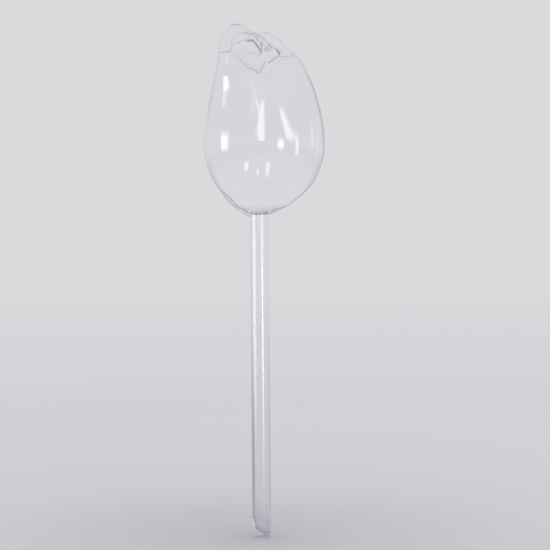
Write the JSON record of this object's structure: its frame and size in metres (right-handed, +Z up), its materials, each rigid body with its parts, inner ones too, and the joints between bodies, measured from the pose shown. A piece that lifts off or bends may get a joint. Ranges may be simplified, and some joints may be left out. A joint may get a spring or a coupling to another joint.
{
  "type": "watering globe",
  "caption": "Clear hollow plant watering globe shaped like a tulip bud, on a long hollow stem with a slanted tip that pushes into potting soil.",
  "frame": {"origin": "on the stem's axis, on the underside of the head, where the stem's shoulder seats", "axes": "+Z up along the stem, from the tip towards the head; +Y to the back, so the petals' V-shaped edge faces -Y; +X to the right seen from the front"},
  "size_m": [0.0755, 0.072, 0.3209],
  "materials": {
    "moulded_pvc": "clear gloss with a faint lavender tint, moulded",
    "extruded_pvc": "clear gloss with a faint blue tint, extruded",
    "solvent_cement": "clear, cured"
  },
  "bodies": {
    "root": {"front_shell": "moulded_pvc", "rear_shell": "moulded_pvc", "stem_tube": "extruded_pvc", "neck_cement": "solvent_cement"}
  },
  "joints": []
}
